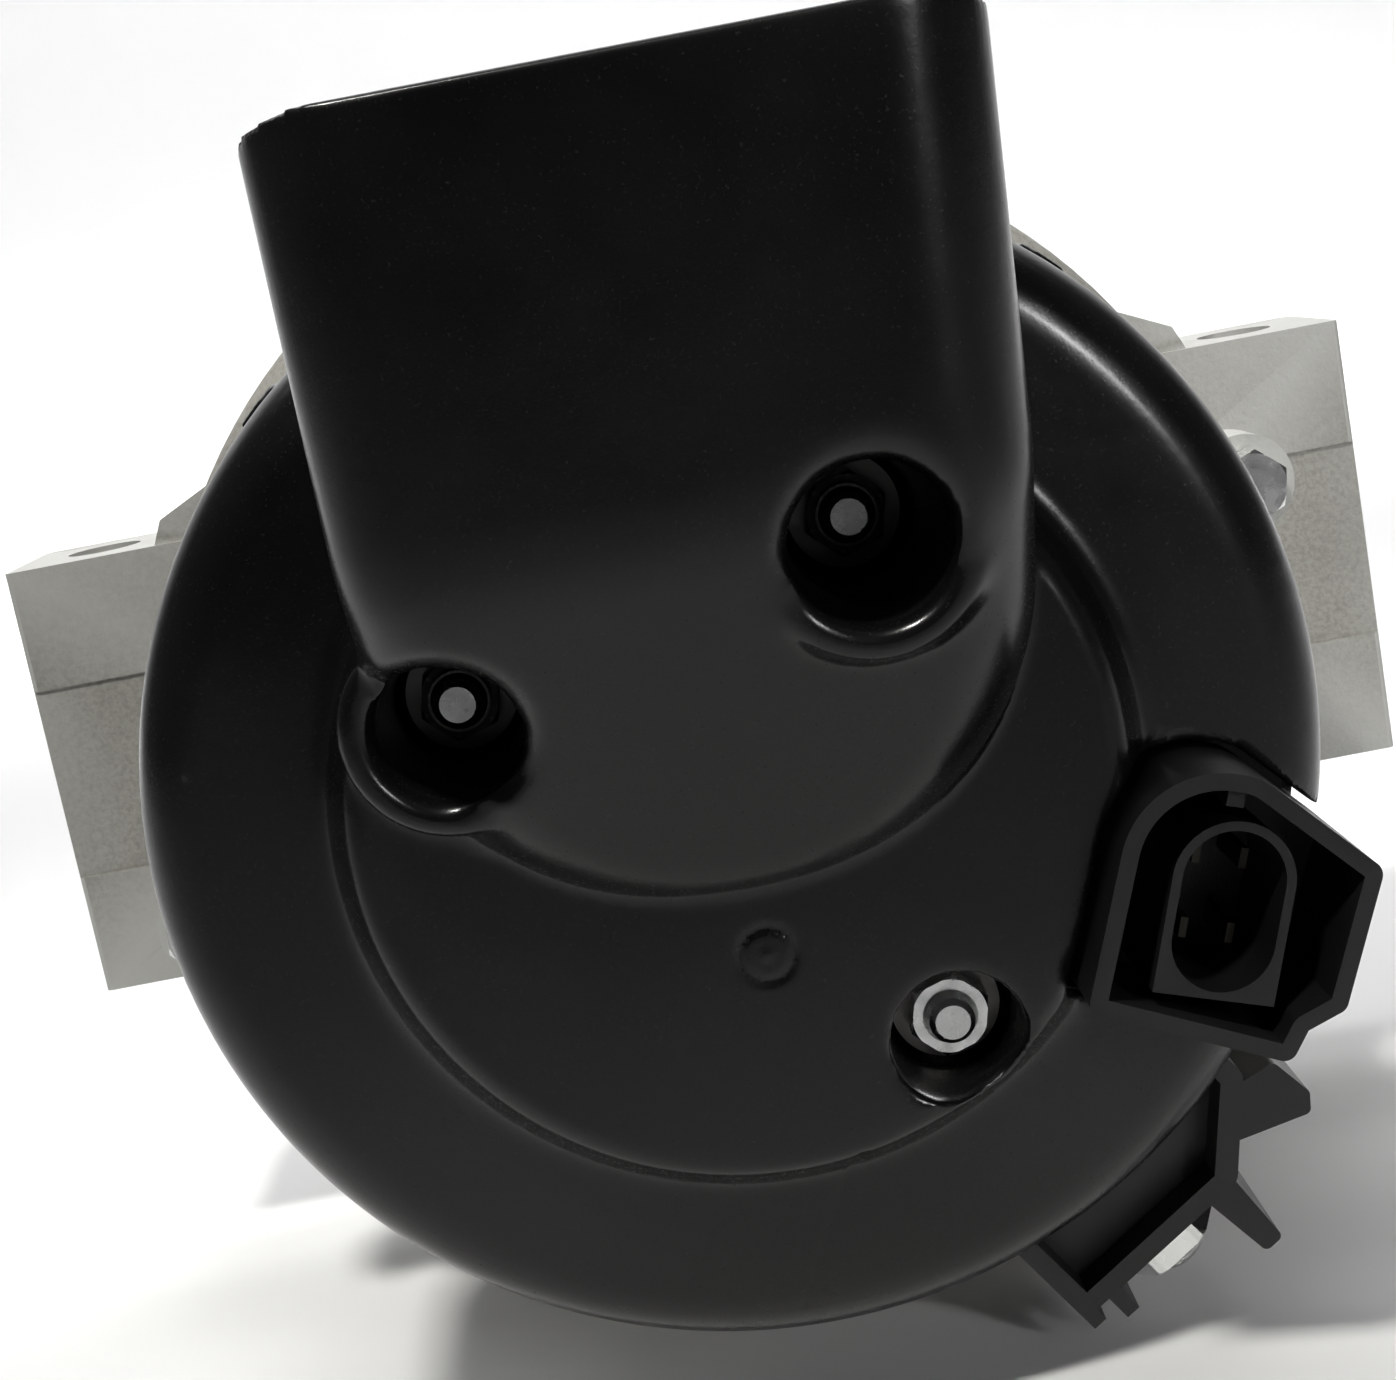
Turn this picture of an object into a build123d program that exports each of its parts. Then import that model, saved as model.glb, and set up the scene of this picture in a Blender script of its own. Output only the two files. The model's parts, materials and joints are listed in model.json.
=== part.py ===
from build123d import *
import os
from math import cos, radians, sin, sqrt, tan

# Vehicle alternator with a plastic rear cover that ends in a cooling-air duct.
# Frame, in millimetres: the shaft lies along Y with the pulley at +Y and the rear cover at -Y, Z is up
# along the duct, X runs from one mounting lug to the other. The origin is on the shaft's axis, midway
# between the two lug bores. Angles are measured from +X towards +Z, as seen from behind.

# ---------------------------------------------------------------- driving dimensions
# mounting lugs of the front bracket
LUG_X = 82.0
LUG_BORE_R = 5.15
LUG_OUT_X = 93.4
LUG_HALF_HEIGHT = 30.5
LUG_HALF_DEPTH = 12.0
LUG_PANEL_HALF = 13.6
LUG_PANEL_DEPTH = 0.35

# stator
CORE_REAR_Y = -40.0
CORE_FRONT_Y = -4.0
CORE_R = 67.0
CORE_BORE_R = 51.2
SLOTS = 36
SLOT_WIDTH = 4.4
SLOT_OUT_R = 61.0
END_TURN_REAR = 10.0
END_TURN_FRONT = 15.0

# rotor
ROTOR_R = 50.8
POLE_REAR_Y = -46.0
POLE_FRONT_Y = 2.0
POLE_PLATE = 12.0
CLAWS = 6
COIL_R = 38.5

# brackets
BRACKET_R = 69.5
BRACKET_REAR_R = 61.0
REAR_FACE_Y = -80.0
FRONT_FACE_Y = 34.0
BOLT_CIRCLE_R = 70.8
BOLT_ANGLE = 12.6
BOLT_R = 2.5
BOLT_HEAD_Y = -46.0

# bearings: bore radius, outer radius, width, middle, ball radius, number of balls
FRONT_BEARING = dict(bore=8.5, outer=23.5, width=14.0, mid=24.0, ball=4.37, count=7)
REAR_BEARING = dict(bore=7.5, outer=17.5, width=11.0, mid=-69.0, ball=2.98, count=8)
BALL_GAP = 0.3
SPACER_R = 12.5
RETAINER_SCREW_R = 26.8

# pulley
PULLEY_R = 28.0
PULLEY_Y0 = 42.0
PULLEY_Y1 = 69.0
RIBS = 6
RIB_PITCH = 3.56
RIB_DEPTH = 2.9

# rear cover
COVER_R = 64.0
COVER_OPEN_Y = -66.0
SHOULDER_Y = -91.5
RING_IN_R = 43.0
RING_IN_Y = -93.2
PLATEAU_R = 40.0
PLATEAU_Y = -99.0
WALL = 2.2

# duct
DUCT_HALF = 33.4
DUCT_X = -0.3
DUCT_LEAN = 2.8
DUCT_BEND_Z = 22.5
DUCT_FRONT_Y = -120.8
DUCT_TOP_Y = -122.5
DUCT_BACK_Y = -81.0
DUCT_TOP_Z = 74.6
MOUTH_SLOPE = 12.0
RAMP_TOP_Z = 30.0
RAMP_FOOT_Z = -11.0
DUCT_EDGE_R = 10.5

# stud wells in the cover: x, z, height of the rim, bore radius
WELLS = [(16.6, 26.6, -117.0, 7.9), (-26.7, 15.0, -107.0, 7.7), (18.2, -29.0, -99.5, 7.8)]
WELL_WALL = 2.6
LIP_WALL = 3.6
LIP_ROUND = 1.7
LIP_END_Y = -91.0
WELL_DRAFT = 0.03
WELL_FLOOR_Y = -86.0
STUD_R = 2.5
NUT_FLATS = 8.0
NUT_HEIGHT = 4.3
COLLAR_R = 3.3
COLLAR_HEIGHT = 1.1
WASHER_THICK = 1.0

# plug socket of the regulator
PLUG_X = 47.2
PLUG_Z = -19.2
PLUG_TILT = -18.4
PLUG_RIM_Y = -104.5
PLUG_FLOOR_Y = -88.0
PLUG_GAP = 0.9

# battery terminal
TERMINAL_ANGLE = -56.0
TERMINAL_REAR_Y = -80.0
TERMINAL_FRONT_Y = -57.0
STUD_T = -4.3
STUD_Y = -69.5
BATTERY_STUD_R = 4.0

# slip rings and brushes
RING_R = 7.6
RING_YS = (-84.6, -91.4)
RING_WIDTH = 5.2
BRUSH_X = 6.4
BRUSH_Y = 4.6
BRUSH_LENGTH = 15.0
BRUSH_TOP_Z = -7.95
HOLDER_BOTTOM_Z = -36.0

# rectifier
NEGATIVE_PLATE_Y = (-82.3, -80.2)
POSITIVE_PLATE_Y = (-86.6, -84.5)
DIODE_CIRCLE_R = 49.5
DIODE_R = 5.2
POSITIVE_ANGLES = (98.0, 142.0, 186.0)
NEGATIVE_ANGLES = (120.0, 164.0, 208.0)
PLATE_SCREW_ANGLES = (84.0, 228.0)
LEAD_ANGLES = (109.0, 153.0, 197.0)
LEAD_R = 57.0

# wall thickness or gap between neighbours that do not touch
GAP = 0.5


# ---------------------------------------------------------------- helpers
def rod(radius, y0, y1, x=0.0, z=0.0):
    """A cylinder along Y."""
    return Pos(x, (y0 + y1) / 2, z) * Rot(90, 0, 0) * Cylinder(radius, abs(y1 - y0))


def tube(outer, inner, y0, y1, x=0.0, z=0.0):
    """A ring along Y."""
    return rod(outer, y0, y1, x, z) - rod(inner, y0 - 1, y1 + 1, x, z)


def post(radius, z0, z1, x=0.0, y=0.0):
    """A cylinder along Z."""
    return Pos(x, y, (z0 + z1) / 2) * Cylinder(radius, abs(z1 - z0))


def block(x0, x1, y0, y1, z0, z1):
    return Pos((x0 + x1) / 2, (y0 + y1) / 2, (z0 + z1) / 2) * Box(x1 - x0, y1 - y0, z1 - z0)


def rounded(points, corners):
    """A flat face from points, with the corner at each given index rounded."""
    face = make_face(Polyline(*points, close=True))
    for index, radius in corners.items():
        x, y = points[index]
        corner = face.vertices().sort_by_distance((x, y, 0))[0]
        face = fillet(corner, radius)
    return face


def turned(points, corners=None):
    """A solid turned about Y from (radius, y) points."""
    return revolve(rounded(points, corners or {}), Axis.Y, 360)


def prism(points, y0, y1, corners=None):
    """A prism along Y from (x, z) points."""
    return Pos(0, y1, 0) * Rot(90, 0, 0) * extrude(rounded(points, corners or {}), y1 - y0)


def about_y(angle, x=0.0, z=0.0):
    """A place whose local X axis points at that angle, and whose local Z axis is 90 degrees on."""
    return Pos(x, 0, z) * Rot(0, -angle, 0)


def at_angle(angle, radius):
    return radius * cos(radians(angle)), radius * sin(radians(angle))


def ring_of(shape, count, start=0.0):
    """Copies of a shape turned about the shaft's axis."""
    return [Rot(0, -(start + i * 360 / count), 0) * shape for i in range(count)]


def sector(inner, outer, angle0, angle1, y0, y1):
    """Part of a flat ring across Y."""
    steps = 24
    angles = [angle0 + (angle1 - angle0) * i / steps for i in range(steps + 1)]
    arc = [at_angle(a, outer * 1.05) for a in angles]
    return prism([(0, 0)] + arc, y0, y1) & tube(outer, inner, y0, y1)


def hexagon(across_flats, length):
    """A hexagon bar along local Z from zero, with both ends turned off at the corners."""
    corner_r = across_flats / sqrt(3)
    bar = extrude(RegularPolygon(corner_r, 6), length)
    outline = [(0, 0), (corner_r - 0.5, 0), (corner_r + 0.2, 0.55),
               (corner_r + 0.2, length - 0.55), (corner_r - 0.5, length), (0, length)]
    cone = revolve(make_face(Plane.XZ * Polyline(*outline, close=True)), Axis.Z, 360)
    return bar & cone


def to_rear(y, x=0.0, z=0.0):
    """A place whose local Z axis points to the rear."""
    return Pos(x, y, z) * Rot(90, 0, 0)


def save(name, *shapes):
    solids = [s for shape in shapes for s in shape.solids()]
    whole = solids[0] if len(solids) == 1 else Compound(children=solids)
    export_step(whole, f"parts/{name}.step")


os.makedirs("parts", exist_ok=True)


# ---------------------------------------------------------------- rear cover
def cap(inset, open_y=COVER_OPEN_Y):
    """The round part of the cover, all of it moved inwards by inset."""
    radius = COVER_R - inset
    points = [(0, PLATEAU_Y + inset), (PLATEAU_R - 0.6 * inset, PLATEAU_Y + inset),
              (RING_IN_R - 0.6 * inset, RING_IN_Y + inset), (radius, SHOULDER_Y + inset),
              (radius, open_y), (0, open_y)]
    return turned(points, {1: 2.0, 2: 1.8, 3: 8.0 - 0.8 * inset})


def duct(inset, back_y, top_z):
    """The duct, all of it moved inwards by inset."""
    half = DUCT_HALF - inset
    lean = radians(DUCT_LEAN)
    low_x, low_z = DUCT_X + half * cos(lean), DUCT_BEND_Z - half * sin(lean)
    column = prism([(DUCT_X - half, DUCT_BEND_Z), (DUCT_X, DUCT_BEND_Z), (low_x, low_z),
                    (low_x + (top_z - low_z) * tan(lean), top_z), (DUCT_X - half, top_z)], -140, back_y)
    column += rod(half, -140, back_y, DUCT_X, DUCT_BEND_Z)
    slope = (PLATEAU_Y - DUCT_FRONT_Y) / (RAMP_TOP_Z - RAMP_FOOT_Z)
    foot_z = DUCT_BEND_Z - half - 5
    foot_y = PLATEAU_Y + (RAMP_FOOT_Z - foot_z) * slope + inset
    points = [(foot_y, foot_z), (DUCT_FRONT_Y + inset, RAMP_TOP_Z),
              (DUCT_TOP_Y + inset, top_z), (back_y, top_z), (back_y, foot_z)]
    side = extrude(Plane.YZ * rounded(points, {1: 20.0}), half + 8, both=True)
    body = column & side
    return fillet([e for e in body.edges() if is_front_rim(e, back_y, top_z)], DUCT_EDGE_R - inset)


def is_front_rim(edge, back_y, top_z):
    """True for the edges between the duct's front and its sides."""
    middle = edge @ 0.5
    way = edge % 0.5
    straight_across = edge.geom_type == GeomType.LINE and (abs(way.X) > 0.99 or abs(way.Y) > 0.99)
    return middle.Y < back_y - 1 and middle.Z < top_z - 1 and not straight_across


def mouth_trim(top_z):
    """Everything above the duct's sloping mouth."""
    return Pos(0, DUCT_TOP_Y, DUCT_TOP_Z) * Rot(-MOUTH_SLOPE, 0, 0) * block(-60, 60, -40, 90, 0, top_z)


PLUG_PLACE = about_y(PLUG_TILT, PLUG_X, PLUG_Z)
TERMINAL_PLACE = about_y(TERMINAL_ANGLE)

# outline of the plug socket in its own frame
PLUG_OUTLINE = [(-13.0, -12.2), (-12.0, 14.4), (0.2, 14.4), (14.5, 6.6), (13.4, -8.5), (9.9, -11.2),
                (8.8, -14.9)]
PLUG_CORNERS = {0: 1.4, 1: 10.0, 2: 7.0, 3: 1.6, 4: 1.4, 6: 1.4}


def plug_prism(inset, y0, y1):
    """The plug socket's outline made smaller by inset, as a prism along Y."""
    face = offset(rounded(PLUG_OUTLINE, PLUG_CORNERS), -inset)
    return PLUG_PLACE * Pos(0, y1, 0) * Rot(90, 0, 0) * extrude(face, y1 - y0)


def plug_ring(y0, y1, bore_y1):
    """The socket's inner ring: an arch on a flat base outside, oval inside."""
    body = block(-6.4, 6.4, y0, y1, -9.6, 3.0) + rod(6.4, y0, y1, 0, 3.0)
    body -= block(-5.4, 5.4, y0 - 1, bore_y1, -3.4, 3.0)
    body -= rod(5.4, y0 - 1, bore_y1, 0, 3.0) + rod(5.4, y0 - 1, bore_y1, 0, -3.4)
    return PLUG_PLACE * Pos(0.2, 0, -0.2) * body


def well_bore(x, z, bore_r):
    """The inside of a stud well, a little wider towards its mouth."""
    length = 140 + WELL_FLOOR_Y
    foot_r = bore_r - 0.9
    cone = Pos(0, 0, length / 2) * Cone(foot_r, foot_r + WELL_DRAFT * length, length)
    return to_rear(WELL_FLOOR_Y, x, z) * cone


def lipped_boss(x, z, rim_y, bore_r):
    """The wall of a well that stands out of the cover, with a round lip."""
    boss = rod(bore_r + LIP_WALL, rim_y, LIP_END_Y, x, z)
    boss = fillet(boss.edges().sort_by(Axis.Y)[0], LIP_ROUND)
    lip = to_rear(rim_y + LIP_ROUND, x, z) * Torus(bore_r + LIP_ROUND, LIP_ROUND)
    boss -= rod(bore_r + LIP_ROUND, rim_y - 1, rim_y + LIP_ROUND, x, z) - lip
    return boss + rod(bore_r + WELL_WALL, rim_y + LIP_ROUND + 1, WELL_FLOOR_Y + WALL, x, z)


def make_rear_cover():
    outer = cap(0) + duct(0, DUCT_BACK_Y, DUCT_TOP_Z + 15)
    cover = outer - cap(WALL, COVER_OPEN_Y + 5)
    cover -= duct(WALL, DUCT_BACK_Y - WALL, DUCT_TOP_Z + 20)
    cover -= duct(WALL, COVER_OPEN_Y + 5, DUCT_TOP_Z + 20) & rod(COVER_R - WALL, -130, -60)
    cover -= mouth_trim(80)
    for x, z, rim_y, bore_r in WELLS:
        if rim_y < PLATEAU_Y - 2:
            boss = lipped_boss(x, z, rim_y, bore_r)
        else:
            boss = rod(bore_r + WELL_WALL, rim_y, WELL_FLOOR_Y + WALL, x, z) & outer
        cover += boss
        cover -= well_bore(x, z, bore_r)
        cover -= rod(STUD_R + 0.5, -140, -60, x, z)
    cover -= plug_prism(-PLUG_GAP, -140, -60)
    cover -= TERMINAL_PLACE * block(55, 75, SHOULDER_Y + 8.0, -50, -18.2, 18.2)
    for angle in (48.0, 131.6):
        tab = about_y(angle) * block(COVER_R - 0.6, COVER_R + 1.1, -77.0, -70.0, -3.0, 3.0)
        cover += tab
    gate_x, gate_z = 0.0, -16.0
    cover -= tube(3.0, 2.5, PLATEAU_Y - 1, PLATEAU_Y + 0.35, gate_x, gate_z)
    return cover


save("rear_cover", make_rear_cover())

studs = []
nuts = []
washers = []
for x, z, rim_y, bore_r in WELLS:
    nut_y = WELL_FLOOR_Y - WASHER_THICK
    stud = rod(STUD_R, nut_y - NUT_HEIGHT - 2.2, REAR_FACE_Y + 7.0, x, z)
    studs.append(chamfer(stud.edges().sort_by(Axis.Y)[0], 0.6))
    if rim_y < PLATEAU_Y - 2:
        nut = hexagon(NUT_FLATS, NUT_HEIGHT - COLLAR_HEIGHT)
        nut += Pos(0, 0, NUT_HEIGHT / 2) * Cylinder(COLLAR_R, NUT_HEIGHT)
    else:
        nut = hexagon(NUT_FLATS, NUT_HEIGHT)
    nut -= Pos(0, 0, NUT_HEIGHT / 2) * Cylinder(STUD_R, NUT_HEIGHT + 2)
    sink = Pos(0, 0, NUT_HEIGHT - 0.3) * Cone(STUD_R, STUD_R + 0.5, 0.6)
    nuts.append(to_rear(nut_y, x, z) * Rot(0, 0, 17) * (nut - sink))
    washers.append(tube(6.0, STUD_R + 0.15, nut_y, WELL_FLOOR_Y, x, z))
save("cover_studs", *studs)
save("upper_cover_nuts", *nuts[:2])
save("lower_cover_nut", nuts[2])
save("cover_washers", *washers)


# ---------------------------------------------------------------- regulator and its plug socket
def make_regulator():
    body = PLUG_PLACE * block(-17, 15, PLUG_FLOOR_Y, REAR_FACE_Y - 0.2, -14.5, 21)
    body &= cap(WALL + GAP, -60)
    body &= rod(BRACKET_REAR_R, -100, -60)
    body -= rod(WELLS[2][3] + WELL_WALL + GAP, -120, -60, WELLS[2][0], WELLS[2][1])
    body += plug_prism(0, PLUG_RIM_Y, REAR_FACE_Y - 0.2)
    body -= plug_prism(1.8, PLUG_RIM_Y - 1, PLUG_FLOOR_Y + 1.0)
    body += plug_ring(PLUG_RIM_Y + 2.2, PLUG_FLOOR_Y + 2.0, PLUG_FLOOR_Y + 1.0)
    body += PLUG_PLACE * block(-2.4, -0.6, PLUG_RIM_Y + 1.2, PLUG_FLOOR_Y + 2.0, 10.8, 14.2)
    return body


PIN_PLACES = [(-2.4, 4.0), (2.6, 4.0), (-2.4, -4.2), (2.6, -4.2)]
pins = [PLUG_PLACE * block(x - 0.4, x + 0.4, PLUG_RIM_Y + 8.5, PLUG_FLOOR_Y + 4.0, z - 1.1, z + 1.1)
        for x, z in PIN_PLACES]
regulator = make_regulator()
for pin in pins:
    regulator -= pin
save("regulator_body", regulator)
save("plug_pins", *pins)

fin_plate = PLUG_PLACE * block(-16, -2, PLUG_FLOOR_Y - 1.4, PLUG_FLOOR_Y, 16.0, 20.5)
save("regulator_heat_plate", fin_plate)


# ---------------------------------------------------------------- brushes and their holder
def make_brush_holder():
    body = block(-7.4, 7.4, -96.0, REAR_FACE_Y - 0.2, HOLDER_BOTTOM_Z, -10.2)
    for y in RING_YS:
        body -= block(-BRUSH_X / 2 - 0.3, BRUSH_X / 2 + 0.3, y - BRUSH_Y / 2 - 0.3, y + BRUSH_Y / 2 + 0.3,
                      HOLDER_BOTTOM_Z + 1.6, 0)
    body += block(-14.5, -7.0, -84.0, REAR_FACE_Y - 0.2, -34, -14)
    return body - rod(2.2, -90, -70, -11.0, -24.0)


def make_spring(y):
    """A coil spring under a brush."""
    wire_r = 0.35
    z0 = HOLDER_BOTTOM_Z + 1.6 + wire_r + 0.05
    length = BRUSH_TOP_Z - BRUSH_LENGTH - wire_r - 0.35 - z0
    path = Helix(pitch=length / 7, height=length, radius=1.55)
    start = path @ 0
    section = Plane(origin=start, z_dir=path % 0) * Circle(wire_r)
    return Pos(0, y, z0) * sweep(section, path=path)


holder = make_brush_holder()
save("brush_holder", holder)
holder_screw = rod(2.2, REAR_FACE_Y + 5.0, -84.0, -11.0, -24.0)
holder_screw += rod(3.6, -86.2, -84.0, -11.0, -24.0)
save("brush_holder_screw", holder_screw)
for name, y in zip(("inner", "outer"), RING_YS):
    brush = block(-BRUSH_X / 2, BRUSH_X / 2, y - BRUSH_Y / 2, y + BRUSH_Y / 2,
                  BRUSH_TOP_Z - BRUSH_LENGTH, BRUSH_TOP_Z)
    save(f"brush_{name}", brush)
    save(f"brush_spring_{name}", make_spring(y))


# ---------------------------------------------------------------- rectifier
def plate_holes(y0, y1, circle_r, hole_r, angles):
    return [rod(hole_r, y0 - 1, y1 + 1, *at_angle(a, circle_r)) for a in angles]


def without(shape, tools):
    for tool in tools:
        shape -= tool
    return shape


def well_tubes(gap):
    return [rod(bore_r + WELL_WALL + gap, -130, -60, x, z) for x, z, rim_y, bore_r in WELLS]


y0, y1 = NEGATIVE_PLATE_Y
negative_plate = sector(30.0, 57.5, 74.0, 238.0, y0, y1)
negative_plate = without(negative_plate, plate_holes(y0, y1, DIODE_CIRCLE_R, DIODE_R, NEGATIVE_ANGLES))
negative_plate = without(negative_plate, plate_holes(y0, y1, 53.0, 2.0, PLATE_SCREW_ANGLES))
negative_plate = without(negative_plate, well_tubes(GAP))
negative_plate = without(negative_plate, plate_holes(y0, y1, LEAD_R, 1.6, LEAD_ANGLES))
save("negative_heat_sink", negative_plate)

y0, y1 = POSITIVE_PLATE_Y
positive_plate = sector(41.0, 57.0, 74.0, 254.0, y0, y1)
positive_plate = without(positive_plate, plate_holes(y0, y1, DIODE_CIRCLE_R, DIODE_R, POSITIVE_ANGLES))
positive_plate = without(positive_plate, plate_holes(y0, y1, 53.0, 2.0, PLATE_SCREW_ANGLES))
positive_plate = without(positive_plate, well_tubes(GAP))
save("positive_heat_sink", positive_plate)

negative_diodes = []
for angle in NEGATIVE_ANGLES:
    x, z = at_angle(angle, DIODE_CIRCLE_R)
    negative_diodes.append(rod(DIODE_R, -83.2, REAR_FACE_Y - 0.2, x, z) + rod(0.6, -84.2, -83.0, x, z))
save("negative_diodes", *negative_diodes)

positive_diodes = []
for angle in POSITIVE_ANGLES:
    x, z = at_angle(angle, DIODE_CIRCLE_R)
    positive_diodes.append(rod(DIODE_R, -87.2, -83.6, x, z) + rod(0.6, -83.8, -82.9, x, z))
save("positive_diodes", *positive_diodes)

insulator = sector(50.5, 58.5, 76.0, 236.0, POSITIVE_PLATE_Y[1], NEGATIVE_PLATE_Y[0])
insulator = without(insulator, plate_holes(-90, -80, 53.0, 2.0, PLATE_SCREW_ANGLES))
all_diodes = POSITIVE_ANGLES + NEGATIVE_ANGLES
insulator = without(insulator, plate_holes(-90, -80, DIODE_CIRCLE_R, DIODE_R + GAP, all_diodes))
insulator = without(insulator, plate_holes(-90, -80, LEAD_R, 1.1, LEAD_ANGLES))
save("rectifier_insulator", insulator)

screws = []
for angle in PLATE_SCREW_ANGLES:
    x, z = at_angle(angle, 53.0)
    screws.append(rod(2.0, POSITIVE_PLATE_Y[0], REAR_FACE_Y + 3.8, x, z)
                  + rod(3.5, POSITIVE_PLATE_Y[0] - 2.0, POSITIVE_PLATE_Y[0], x, z))
save("rectifier_screws", *screws)


# ---------------------------------------------------------------- battery terminal
def make_output_strap():
    """Copper strip from the positive plate to the battery stud."""
    strap = sector(46.0, 56.0, 243.0, 304.0, POSITIVE_PLATE_Y[1], POSITIVE_PLATE_Y[1] + 1.8)
    strap += TERMINAL_PLACE * block(46.5, 58.6, POSITIVE_PLATE_Y[1], POSITIVE_PLATE_Y[1] + 1.8, -9.0, 0.5)
    strap += TERMINAL_PLACE * block(56.8, 58.6, POSITIVE_PLATE_Y[1], STUD_Y + 5.5, -9.0, 0.5)
    stud_hole = Pos(58, STUD_Y, STUD_T) * Rot(0, 90, 0) * Cylinder(BATTERY_STUD_R, 6)
    return strap - TERMINAL_PLACE * stud_hole


def radial(shape):
    """A shape built along local Z from zero, laid along the battery stud."""
    return TERMINAL_PLACE * Pos(0, STUD_Y, STUD_T) * Rot(0, 90, 0) * shape


def make_terminal_block():
    y0, y1 = TERMINAL_REAR_Y, TERMINAL_FRONT_Y
    outline = [(50, -17), (76.2, -17), (76.2, 7), (67, 16.2), (50, 16.2)]
    body = prism(outline, y0, y1, {1: 1.0, 2: 2.0, 3: 1.5})
    body -= prism([(50, -14.6), (73.8, -14.6), (73.8, 5.6), (66, 13.6), (50, 13.6)], y0 - 1, y0 + 4.6)
    body += block(74.0, 77.8, y0, y1, -17, -15.2)
    body += block(74.0, 79.8, y0 + 0.6, y1, -13.4, -11.6)
    body += prism([(74, 2.6), (85.2, 3.6), (85.2, 6.2), (74, 7)], y0 + 0.4, y1, {1: 0.8, 2: 0.8})
    body += prism([(67.5, 14.0), (72.6, 10.0), (76.2, 18.6), (74.2, 20.2), (68.6, 19.6)], y0 + 0.4, y1,
                  {2: 0.8, 3: 0.8, 4: 0.8})
    body = TERMINAL_PLACE * body
    body -= rod(BRACKET_REAR_R + 0.1, -100, -40)
    return body - radial(Pos(0, 0, 70) * Cylinder(BATTERY_STUD_R + 0.05, 40))


save("output_strap", make_output_strap())
save("terminal_block", make_terminal_block())
stud_head = TERMINAL_PLACE * block(58.6, 60.3, STUD_Y - 5.2, STUD_Y + 5.2, STUD_T - 4.6, STUD_T + 4.6)
battery_stud = stud_head + radial(Pos(0, 0, 71.6) * Cylinder(BATTERY_STUD_R, 22.8))
save("battery_stud", battery_stud)
washer = Pos(0, 0, 76.7) * (Cylinder(6.7, 1.0) - Cylinder(BATTERY_STUD_R + 0.15, 4))
save("battery_stud_washer", radial(washer))
battery_nut = hexagon(12.0, 3.6) - Cylinder(BATTERY_STUD_R, 20)
save("battery_stud_nut", radial(Pos(0, 0, 77.2) * battery_nut))


# ---------------------------------------------------------------- brackets
def make_rear_bracket():
    bearing_r = REAR_BEARING["outer"]
    seat_y = REAR_BEARING["mid"] - REAR_BEARING["width"] / 2
    points = [(BRACKET_R, -38), (BRACKET_R, -43), (BRACKET_REAR_R, -50), (BRACKET_REAR_R, REAR_FACE_Y),
              (12, REAR_FACE_Y), (12, seat_y), (bearing_r, seat_y), (bearing_r, -62), (22.5, -62),
              (22.5, -75.5), (58.3, -75.5), (58.3, -51.6), (64.6, -45.4), (64.6, CORE_REAR_Y),
              (CORE_R, CORE_REAR_Y), (CORE_R, -38)]
    body = turned(points, {1: 3.0, 3: 3.0})
    windows = ring_of(block(27, 52, -90, -70, -4.2, 4.2), 12, 10)
    body = without(body, windows)
    side = block(55, 75, -73.5, -58.5, -3.6, 3.6)
    body = without(body, ring_of(side, 18, 8))
    for x, z, rim_y, bore_r in WELLS:
        body += rod(6.5, WELL_FLOOR_Y + WALL, -75.5, x, z)
        body -= rod(STUD_R, -90, REAR_FACE_Y + 7.0, x, z)
    for angle in PLATE_SCREW_ANGLES:
        x, z = at_angle(angle, 53.0)
        body += rod(4.6, REAR_FACE_Y, -75.5, x, z)
        body -= rod(2.0, -90, -70, x, z)
    body += rod(4.6, REAR_FACE_Y, -74.0, -11.0, -24.0)
    body -= rod(2.2, -90, REAR_FACE_Y + 5.0, -11.0, -24.0)
    body -= rod(12, -90, -75, 0, 0)
    for angle in LEAD_ANGLES:
        body -= rod(2.4, -90, -70, *at_angle(angle, LEAD_R))
    body -= TERMINAL_PLACE * block(55.5, 75, -90, STUD_Y + 7.0, -10.5, 2.0)
    for i in range(4):
        x, z = at_angle(BOLT_ANGLE + 90 * i, BOLT_CIRCLE_R)
        lug = rod(6.2, BOLT_HEAD_Y, -38, x, z) - rod(CORE_R + 0.5, -60, -30)
        body += lug
        body -= rod(BOLT_R + 0.2, -60, -30, x, z)
    return body


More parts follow.
